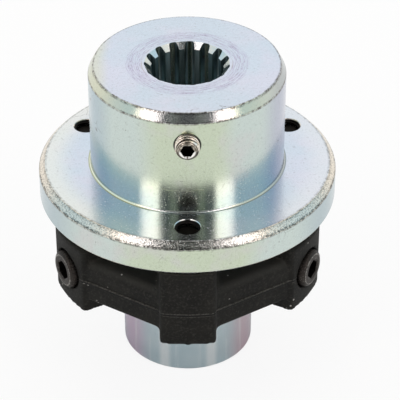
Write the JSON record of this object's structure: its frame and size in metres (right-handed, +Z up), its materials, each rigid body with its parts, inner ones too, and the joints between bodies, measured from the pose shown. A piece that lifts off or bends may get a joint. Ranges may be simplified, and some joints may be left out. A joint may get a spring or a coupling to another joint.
{
  "type": "flexible shaft coupling",
  "caption": "Flexible shaft coupling: a flanged hub with a splined bore, a moulded rubber element with bolted metal inserts, and a keyed cylindrical hub.",
  "frame": {"origin": "centre of the lower hub's end face, on which the coupling stands", "axes": "+Z up along the shafts' axis, -Y to the front, where the upper hub's set screw is, +X to the right"},
  "size_m": [0.1, 0.1, 0.111],
  "materials": {
    "plated_steel": "turned steel with a bright zinc plate that shows faint blue, green and violet",
    "shaft_hub_steel": "turned steel with a zinc plate, pinkish at the sides and grey-blue in the middle",
    "screw_steel": "black oxide, slightly brown, with a dull sheen",
    "rubber": "matt black moulded rubber with a fine parting line and specks of dust",
    "insert_aluminium": "plain turned aluminium"
  },
  "bodies": {
    "root": {"flange_hub": "plated_steel", "hub_set_screw": "screw_steel", "shaft_hub": "shaft_hub_steel", "shaft_set_screw": "screw_steel", "rubber_element": "rubber", "axial_insert_1": "insert_aluminium", "axial_insert_2": "insert_aluminium", "axial_insert_3": "insert_aluminium", "radial_insert_1": "insert_aluminium", "radial_insert_2": "insert_aluminium", "radial_insert_3": "insert_aluminium", "axial_screw_1": "screw_steel", "axial_screw_2": "screw_steel", "axial_screw_3": "screw_steel", "radial_screw_1": "screw_steel", "radial_screw_2": "screw_steel", "radial_screw_3": "screw_steel"}
  },
  "joints": []
}
